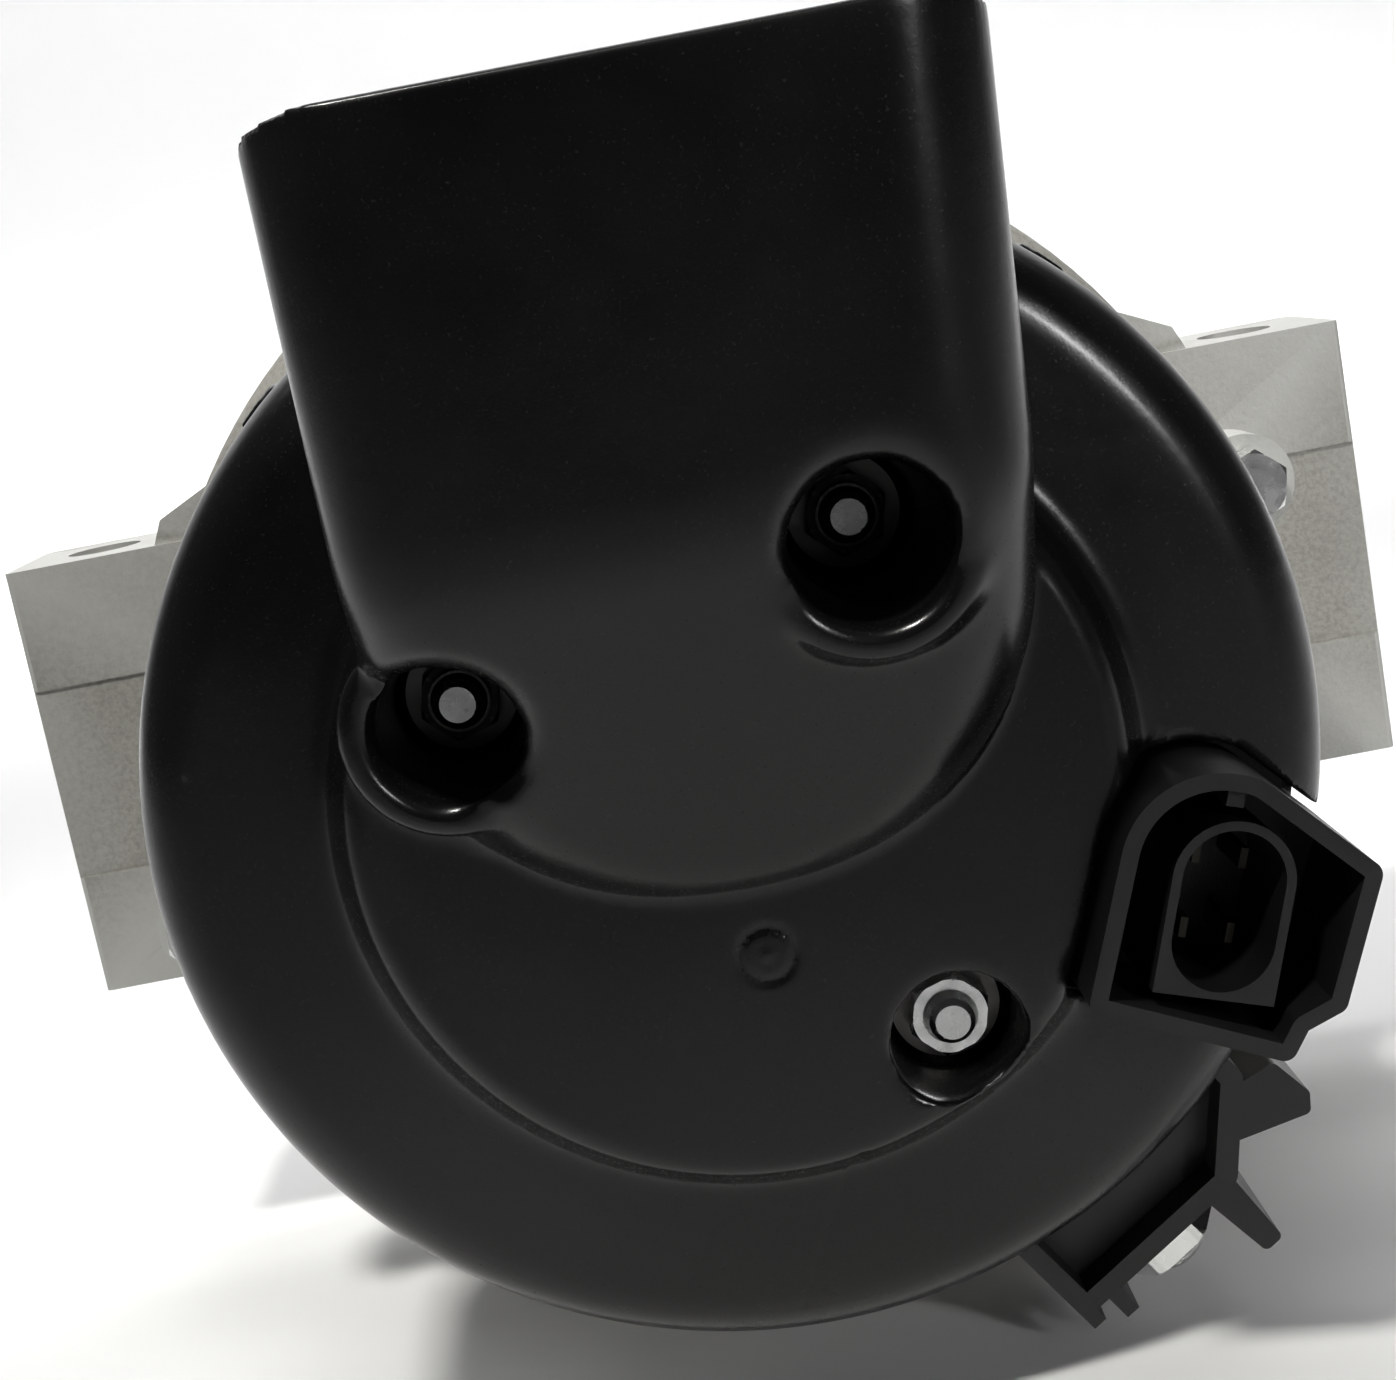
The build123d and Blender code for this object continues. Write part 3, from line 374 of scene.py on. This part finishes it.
def mesh_points(mesh):
    """The mesh's points as rows of x, y, z."""
    points = np.empty(len(mesh.vertices) * 3)
    mesh.vertices.foreach_get("co", points)
    return points.reshape(-1, 3)


def voxel_copy(name, source, size):
    """A closed, evenly meshed copy of an object's mesh."""
    copy = bpy.data.objects.new(name, source.data.copy())
    bpy.context.scene.collection.objects.link(copy)
    remesh = copy.modifiers.new("remesh", "REMESH")
    remesh.mode = "VOXEL"
    remesh.voxel_size = size
    remesh.use_smooth_shade = True
    graph = bpy.context.evaluated_depsgraph_get()
    mesh = bpy.data.meshes.new_from_object(copy.evaluated_get(graph))
    copy.modifiers.clear()
    copy.data = mesh
    return copy


def relax(mesh, points, weight, rounds):
    """Move each point towards the middle of its neighbours, by its weight, again and again."""
    edges = np.empty(len(mesh.edges) * 2, dtype=np.int64)
    mesh.edges.foreach_get("vertices", edges)
    start, end = edges.reshape(-1, 2).T
    size = len(points)
    count = np.bincount(start, minlength=size) + np.bincount(end, minlength=size)
    for _ in range(rounds):
        for axis in range(3):
            value = points[:, axis]
            total = np.bincount(start, value[end], size) + np.bincount(end, value[start], size)
            points[:, axis] = value + weight * (total / count - value)


def hump(distance, width):
    """1 at zero distance, falling smoothly to 0 at width."""
    near = np.clip(1 - np.abs(distance) / width, 0, 1)
    return near * near * (3 - 2 * near)


def line_distance(x, z, start, end):
    """Distance from each point to a straight line between two points, seen along the shaft."""
    (x0, z0), (x1, z1) = start, end
    along = ((x - x0) * (x1 - x0) + (z - z0) * (z1 - z0)) / ((x1 - x0) ** 2 + (z1 - z0) ** 2)
    along = np.clip(along, 0, 1)
    return np.hypot(x - x0 - along * (x1 - x0), z - z0 - along * (z1 - z0))


def flare_mouth(points, facing, well):
    """Bevel the mouth of a well where it breaks through the duct's face, above its own lip."""
    well_x, well_z, rim_y, bore_r = well
    x, y, z = points.T
    away = np.hypot(x - well_x, z - well_z)
    turn = np.arctan2(z - well_z, x - well_x)
    near = np.abs(away - bore_r - FLARE - FACE_RING) < FACE_RING_HALF
    near &= (facing < FACE_TURN) & (y < rim_y + FACE_BELOW_RIM)
    places = np.linspace(-math.pi, math.pi, FACE_PLACES)
    outward = [y[near & (np.abs(turn - place) < FACE_ANGLE_HALF)] for place in places]
    found = [(place, values.min()) for place, values in zip(places, outward) if len(values)]
    surface = np.interp(turn, *zip(*found), period=2 * math.pi)
    depth = np.maximum(y - surface, 0)
    across = np.clip((away - bore_r) / FLARE, 0, 1)
    drop = FLARE * (1 - across) ** FLARE_CURVE
    drop *= np.clip((rim_y - FLARE_START - surface) / FLARE_FADE, 0, 1)
    pushed = surface + drop + depth * (1 - drop / FLARE_REACH)
    inside = (depth < FLARE_REACH) & (away > bore_r - FLARE_INSIDE) & (away < bore_r + FLARE)
    points[:, 1] = np.where(inside, pushed, y)


def point_normals(mesh, points):
    """Each point's normal, once the mesh has taken these points."""
    mesh.vertices.foreach_set("co", points.ravel())
    mesh.update()
    normals = np.empty(len(points) * 3)
    mesh.vertex_normals.foreach_get("vector", normals)
    return normals.reshape(-1, 3)


def soft_zones(points):
    """How soft each point is: the wells' feet and mouths, and the step round the plateau."""
    x, y, z = points.T
    soft = np.zeros(len(points))
    for well_x, well_z, rim_y, bore_r in WELLS:
        distance = np.hypot(x - well_x, z - well_z)
        foot = hump(distance - bore_r - LIP_WALL - FOOT_OUT, FOOT_WIDTH) * (y < FOOT_Y)
        mouth = MOUTH_SOFT * hump(distance - bore_r, MOUTH_WIDTH) * (y < rim_y + MOUTH_BELOW_RIM)
        soft = np.maximum(soft, np.maximum(foot, mouth))
    step = hump(np.hypot(x, z) - STEP_R, STEP_WIDTH) * (y < STEP_Y)
    return np.maximum(soft, STEP_SOFT * step)


def moulding_marks(points, normals):
    """How far each point stands out for the gate's ring, the dot in it and the flow line."""
    x, y, z = points.T
    outside = (normals[:, 1] < MARKS_TURN) & (y < MARKS_Y)
    ring = np.hypot(x - GATE[0], z - GATE[1])
    lift = -GATE_HEIGHT * hump(ring - GATE_R, GATE_WIDTH) + DOT_DEPTH * hump(ring, DOT_WIDTH)
    lift -= FLOW_HEIGHT * hump(line_distance(x, z, *FLOW_LINE), FLOW_WIDTH)
    return lift * outside


def moulded_cover():
    """The rear cover with the soft corners of a moulding, its gate mark and a faint flow line."""
    cover = voxel_copy("moulded_cover", nodes["rear_cover"], VOXEL)
    mesh = cover.data
    points = mesh_points(mesh)
    relax(mesh, points, SMOOTH_WEIGHT, SMOOTH_ROUNDS)
    facing = point_normals(mesh, points)[:, 1]
    for well in WELLS[:DUCT_WELLS]:
        flare_mouth(points, facing, well)
    relax(mesh, points, RELAX_WEIGHT * np.clip(soft_zones(points), 0, 1), RELAX_ROUNDS)
    normals = point_normals(mesh, points)
    points += normals * moulding_marks(points, normals)[:, None]
    mesh.vertices.foreach_set("co", points.ravel())
    mesh.update()
    mesh.materials.clear()
    mesh.materials.append(MATERIALS["cover_plastic"])
    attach(cover, "housing")
    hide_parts("rear_cover")


moulded_cover()


# ------------------------------------------------------------------ stator winding
SLOTS = 36
SLOT_SPAN = 3
STRAND_R = 0.0009
STRANDS = 3
STRAND_GAP = 2.1 * STRAND_R
LOWEST_LOOP = 0.9  # share of the winding's height that a loop reaches, at least
HIGHEST_LOOP = 0.98
TURNS_INNER_R = 0.0542
TURNS_OUTER_R = 0.0592
# The route of one loop, in shares: of the way from the inner to the outer radius, of the slots it spans
# and of its height over the core. Its two ends go down into the slots.
LOOP_ROUTE = [
    (0.0, 0.0, -0.1),
    (0.0, 0.0, 0.3),
    (0.0, 0.18, 0.62),
    (0.5, 0.5, 1.0),
    (1.0, 0.82, 0.62),
    (1.0, 1.0, 0.3),
    (1.0, 1.0, -0.1),
]


def round_shaft(radius, angle, y):
    """The point at this radius and angle round the shaft's axis."""
    return Vector((radius * math.cos(angle), y, radius * math.sin(angle)))


def end_turns(curve, face_y, tip_y):
    """Hairpin loops of wire from slot to slot, over one end of the stator core."""
    slot = 2 * math.pi / SLOTS
    for index in range(SLOTS):
        for strand in range(STRANDS):
            shift = (strand - (STRANDS - 1) / 2) * STRAND_GAP
            rise = (tip_y - face_y) * random.uniform(LOWEST_LOOP, HIGHEST_LOOP)
            spline = curve.splines.new("NURBS")
            spline.points.add(len(LOOP_ROUTE) - 1)
            for point, (outward, share, height) in zip(spline.points, LOOP_ROUTE):
                radius = TURNS_INNER_R + outward * (TURNS_OUTER_R - TURNS_INNER_R)
                angle = (index + share * SLOT_SPAN) * slot + shift / radius
                point.co = (*round_shaft(radius, angle, face_y + height * rise), 1)
            spline.order_u = 4
            spline.use_endpoint_u = True


def wound_wire():
    """The visible ends of the stator winding, in place of its plain solid."""
    low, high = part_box("stator_winding")
    core_low, core_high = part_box("stator_core")
    curve = bpy.data.curves.new("wire", "CURVE")
    curve.dimensions = "3D"
    curve.bevel_depth = STRAND_R
    curve.bevel_resolution = 1
    curve.resolution_u = 4
    for face_y, tip_y in ((core_low[1], low[1] + STRAND_R), (core_high[1], high[1] - STRAND_R)):
        end_turns(curve, face_y, tip_y)
    winding = new_piece("wound_wire", curve_mesh(curve), "copper_wire")
    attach(winding, "housing")
    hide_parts("stator_winding")


# ------------------------------------------------------------------ battery stud
THREAD_R = 0.004
THREAD_PITCH = 0.00125
THREAD_DEPTH = 0.00065
THREAD_SIDES = 32
THREAD_ROWS = 8  # rows of points for each turn of the thread
TIP_CHAMFER = 0.0008
STUD_ANGLE = math.radians(-56.0)
STUD_SIDE = -0.0043
STUD_Y = -0.0695
STUD_HEAD = (0.0586, 0.0603)  # where the flat head starts and ends, out from the shaft's axis
STUD_HEAD_SIZE = (0.0092, 0.0104)
STUD_HEAD_BEVEL = 0.0003
STUD_TIP = 0.083

# The stud's own directions: out from the shaft, and to the side.
STUD_OUT = Vector((math.cos(STUD_ANGLE), 0, math.sin(STUD_ANGLE)))
STUD_ACROSS = Vector((-math.sin(STUD_ANGLE), 0, math.cos(STUD_ANGLE)))
ALONG_Y = Vector((0, 1, 0))
STUD_CENTRE = STUD_SIDE * STUD_ACROSS + STUD_Y * ALONG_Y


def thread_radius(place, turn, length):
    """The thread's radius at a place along the stud and a share of a turn round it."""
    phase = (place / THREAD_PITCH - turn) % 1.0
    radius = THREAD_R - THREAD_DEPTH * (1 - abs(2 * phase - 1))
    return min(radius, THREAD_R - TIP_CHAMFER + (length - place))


def add_thread(shape):
    """The threaded rod, closed at both ends."""
    length = STUD_TIP - STUD_HEAD[1]
    rings = int(length / THREAD_PITCH * THREAD_ROWS)
    rows = []
    for ring in range(rings + 1):
        place = length * ring / rings
        row = []
        for step in range(THREAD_SIDES):
            turn = step / THREAD_SIDES
            angle = 2 * math.pi * turn
            across = math.cos(angle) * STUD_ACROSS + math.sin(angle) * ALONG_Y
            centre = STUD_CENTRE + (STUD_HEAD[1] + place) * STUD_OUT
            row.append(shape.verts.new(centre + thread_radius(place, turn, length) * across))
        rows.append(row)
    for lower, upper in zip(rows, rows[1:]):
        for step in range(THREAD_SIDES):
            following = (step + 1) % THREAD_SIDES
            shape.faces.new((lower[step], lower[following], upper[following], upper[step]))
    shape.faces.new(rows[-1])
    shape.faces.new(rows[0][::-1])


def add_head(shape):
    """The stud's flat head, with bevelled edges."""
    thickness = STUD_HEAD[1] - STUD_HEAD[0]
    place = Matrix((STUD_ACROSS, ALONG_Y, STUD_OUT)).transposed().to_4x4()
    place.translation = STUD_CENTRE + (STUD_HEAD[0] + thickness / 2) * STUD_OUT
    size = Matrix.Diagonal((*STUD_HEAD_SIZE, thickness, 1))
    head = bmesh.ops.create_cube(shape, size=1.0, matrix=place @ size)
    edges = {edge for vert in head["verts"] for edge in vert.link_edges}
    bmesh.ops.bevel(shape, geom=list(edges), offset=STUD_HEAD_BEVEL, segments=2, affect="EDGES")


def threaded_stud():
    """The battery stud with its cut thread and its flat head."""
    shape = bmesh.new()
    add_thread(shape)
    add_head(shape)
    bmesh.ops.recalc_face_normals(shape, faces=shape.faces)
    mesh = bpy.data.meshes.new("threaded_stud")
    shape.to_mesh(mesh)
    shape.free()
    stud = new_piece("threaded_stud", mesh, "zinc_steel")
    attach(stud, "housing")
    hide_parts("battery_stud")


# ------------------------------------------------------------------ brush springs
SPRING_WIRE_R = 0.0002
SPRING_COILS = 9
SPRING_STEPS = 20  # points for each coil


def coil_spring(node):
    """A coil spring in place of the plain one, which the brush presses together."""
    low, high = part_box(node)
    radius = min(high[0] - low[0], high[1] - low[1]) / 2 - SPRING_WIRE_R
    middle = ((low[0] + high[0]) / 2, (low[1] + high[1]) / 2)
    height = high[2] - low[2]
    curve = bpy.data.curves.new("coil", "CURVE")
    curve.dimensions = "3D"
    curve.bevel_depth = SPRING_WIRE_R
    curve.bevel_resolution = 2
    spline = curve.splines.new("POLY")
    steps = SPRING_COILS * SPRING_STEPS
    spline.points.add(steps)
    for step, point in enumerate(spline.points):
        share = step / steps
        turn = 2 * math.pi * SPRING_COILS * share
        x = middle[0] + radius * math.cos(turn)
        y = middle[1] + radius * math.sin(turn)
        z = low[2] + SPRING_WIRE_R + (height - 2 * SPRING_WIRE_R) * share
        point.co = (x, y, z, 1)
    spring = new_piece(node.replace("brush_", "coiled_"), curve_mesh(curve), "spring_steel")
    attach(spring, "housing")
    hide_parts(node)
    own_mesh(spring)


wound_wire()
threaded_stud()
coil_spring("brush_spring_inner")
coil_spring("brush_spring_outer")


# ------------------------------------------------------------------ floor and backdrop
FLOOR_GAP = 0.002  # the floor lies this far under the alternator
FLOOR_HALF = 3.0
FLOOR_NEAR_Y = -1.1
BEND_Y = 1.1  # where the floor starts to curve up into the backdrop
BEND_R = 0.5
BACKDROP_TOP = 3.2


def paper():
    """Pale paper of the floor and backdrop."""
    look = Shader("backdrop_paper")
    cloud = look.noise(3, 3, 0.5)
    base = look.mix(cloud, (0.86, 0.86, 0.86), (0.9, 0.9, 0.9))
    look.bump(look.noise(300, 2, 0.5), 0.02, 0.0003)
    return look.done(base, look.ramp(cloud, [(0.0, 0.85), (1.0, 0.95)]))


def floor():
    """One sheet of paper, flat under the alternator and curved up behind it."""
    profile = [(FLOOR_NEAR_Y, 0.0), (BEND_Y, 0.0)]
    for degrees in range(10, 100, 10):
        angle = math.radians(degrees)
        profile.append((BEND_Y + BEND_R * math.sin(angle), BEND_R - BEND_R * math.cos(angle)))
    profile.append((BEND_Y + BEND_R, BACKDROP_TOP))
    floor_z = cad_box[0][2] - FLOOR_GAP
    points = [(x, y, floor_z + z) for y, z in profile for x in (-FLOOR_HALF, FLOOR_HALF)]
    faces = [(row, row + 1, row + 3, row + 2) for row in range(0, len(points) - 2, 2)]
    mesh = bpy.data.meshes.new("floor")
    mesh.from_pydata(points, [], faces)
    for poly in mesh.polygons:
        poly.use_smooth = True
    mesh.materials.append(paper())
    obj = bpy.data.objects.new("floor", mesh)
    bpy.context.scene.collection.objects.link(obj)


floor()


# ------------------------------------------------------------------ light
# The world's light, from the viewer's side to the far side, along y of its direction.
ROOM_DARK = 0.008
ROOM_PALE = 0.06
ROOM_DARK_Y = -0.75
ROOM_PALE_Y = 0.3
PAPER_TONE = 0.8


def lamp(name, place, target, size, power, colour=(1, 1, 1), spread=180):
    """A rectangular lamp at a place, aimed at a target; spread is in degrees."""
    light = bpy.data.lights.new(name, "AREA")
    light.shape = "RECTANGLE"
    light.size, light.size_y = size
    light.energy = power
    light.color = colour
    light.spread = math.radians(spread)
    obj = bpy.data.objects.new(name, light)
    obj.location = place
    obj.rotation_euler = (Vector(target) - Vector(place)).to_track_quat("-Z", "Y").to_euler()
    bpy.context.scene.collection.objects.link(obj)


lamp("backdrop_light", (0, 0.75, 1.5), (0, 1.6, 0.3), (2.6, 0.6), 30)
lamp("far_table_light", (0, 1.0, 1.1), (0, 1.0, 0), (1.8, 0.5), 5, spread=50)
lamp("table_light", (0, 0.2, 1.1), (0, 0.2, 0), (1.5, 0.14), 0.75, spread=38)
lamp("front_light", (-0.2, -0.5, 0.85), (0, 0, 0.02), (0.12, 0.08), 0.35, (1.0, 0.99, 0.95), spread=34)
lamp("window_light", (0.66, -1.05, 0.36), (0.03, 0, 0.03), (0.1, 0.35), 0.14, spread=30)


def room():
    """A room that is dark on the viewer's side and paler behind; the camera itself sees pale paper."""
    world = bpy.data.worlds.new("room")
    bpy.context.scene.world = world
    world.use_nodes = True
    tree = world.node_tree
    light = tree.nodes["Background"]
    light.inputs["Color"].default_value = (0.95, 0.97, 1.0, 1)
    coords = tree.nodes.new("ShaderNodeTexCoord")
    split = tree.nodes.new("ShaderNodeSeparateXYZ")
    tree.links.new(coords.outputs["Generated"], split.inputs["Vector"])
    fade = tree.nodes.new("ShaderNodeMapRange")
    fade.inputs["From Min"].default_value = ROOM_DARK_Y
    fade.inputs["From Max"].default_value = ROOM_PALE_Y
    fade.inputs["To Min"].default_value = ROOM_DARK
    fade.inputs["To Max"].default_value = ROOM_PALE
    tree.links.new(split.outputs["Y"], fade.inputs["Value"])
    tree.links.new(fade.outputs["Result"], light.inputs["Strength"])
    seen = tree.nodes.new("ShaderNodeBackground")
    seen.inputs["Color"].default_value = (PAPER_TONE, PAPER_TONE, PAPER_TONE, 1)
    choose = tree.nodes.new("ShaderNodeMixShader")
    path = tree.nodes.new("ShaderNodeLightPath")
    tree.links.new(path.outputs["Is Camera Ray"], choose.inputs["Fac"])
    tree.links.new(light.outputs["Background"], choose.inputs[1])
    tree.links.new(seen.outputs["Background"], choose.inputs[2])
    tree.links.new(choose.outputs["Shader"], tree.nodes["World Output"].inputs["Surface"])


room()

# ------------------------------------------------------------------ camera
CAMERA_PLACE = (-0.000473, -0.325, 0.05557)
CAMERA_LENS = 58.55
CAMERA_PITCH = 0.1868  # down, in radians
CAMERA_YAW = -0.0063
CAMERA_ROLL = 0.1895


def viewer():
    """The camera behind the alternator, a little above it and tilted."""
    data = bpy.data.cameras.new("camera")
    data.sensor_width = 36.0
    data.lens = CAMERA_LENS
    data.clip_start = 0.01
    level = math.cos(CAMERA_PITCH)
    ahead = Vector((math.sin(CAMERA_YAW) * level, math.cos(CAMERA_YAW) * level, -math.sin(CAMERA_PITCH)))
    side = ahead.cross(Vector((0, 0, 1))).normalized()
    upright = side.cross(ahead)
    right = math.cos(CAMERA_ROLL) * side - math.sin(CAMERA_ROLL) * upright
    up = math.sin(CAMERA_ROLL) * side + math.cos(CAMERA_ROLL) * upright
    camera = bpy.data.objects.new("camera", data)
    turned = Matrix((right, up, -ahead)).transposed().to_4x4()
    camera.matrix_world = Matrix.Translation(CAMERA_PLACE) @ turned
    bpy.context.scene.collection.objects.link(camera)
    bpy.context.scene.camera = camera


viewer()
bpy.context.scene.view_settings.view_transform = "Standard"
